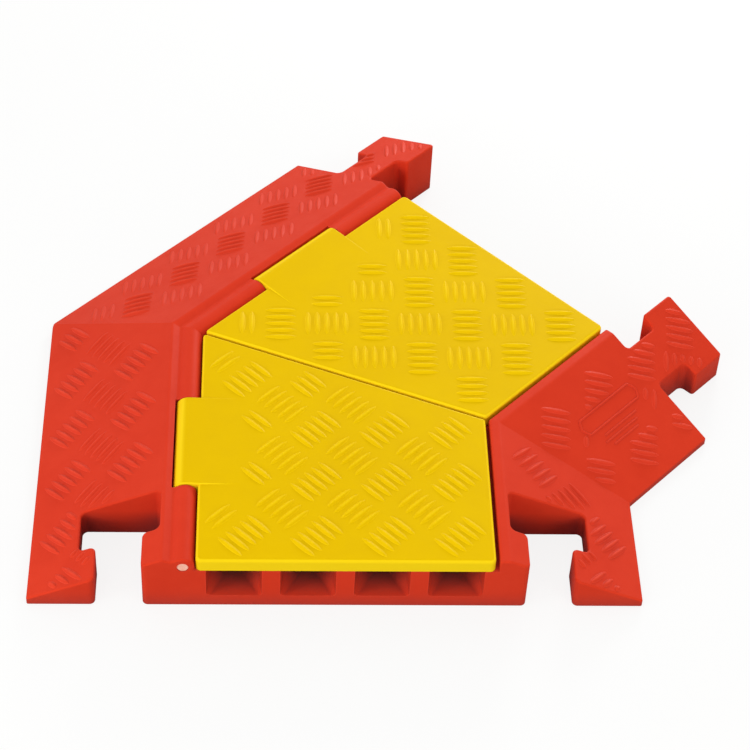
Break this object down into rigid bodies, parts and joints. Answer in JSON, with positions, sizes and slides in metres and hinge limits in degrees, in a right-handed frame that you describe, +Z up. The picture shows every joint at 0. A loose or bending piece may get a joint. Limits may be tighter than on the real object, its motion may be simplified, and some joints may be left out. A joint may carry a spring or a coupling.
{
  "type": "cable protector ramp",
  "caption": "Angled turn module of a modular cable protector ramp: cable channels under hinged tread lids between two ramps, T-slots at one end and T-heads at the other.",
  "frame": {"origin": "on the ground under the bend, where the centre lines of the two runs cross", "axes": "+Z up; the front run goes towards -Y, the rear run goes towards +X and +Y at 45 degrees; +X is the inner side of the turn"},
  "size_m": [0.5949, 0.5556, 0.0572],
  "materials": {
    "base_moulding": "satin moulded polyurethane elastomer, raised tread on the ramps",
    "lid_moulding": "satin moulded polyurethane elastomer, raised tread on the top",
    "pin_rod": "plain sawn fibreglass rod, pale"
  },
  "bodies": {
    "base": {"base": "base_moulding", "front_hinge_pin": "pin_rod", "rear_hinge_pin": "pin_rod"},
    "front_lid": {"front_lid": "lid_moulding"},
    "rear_lid": {"rear_lid": "lid_moulding"}
  },
  "joints": [
    {"name": "front_lid_hinge", "type": "hinge", "parent": "base", "child": "front_lid", "pos_m": [-0.1233, -0.08055, 0.0468], "axis": [0, -1, 0], "range_deg": [0, 95]},
    {"name": "rear_lid_hinge", "type": "hinge", "parent": "base", "child": "rear_lid", "pos_m": [-0.03023, 0.14414, 0.0468], "axis": [-0.7071, -0.7071, 0], "range_deg": [0, 95]}
  ]
}
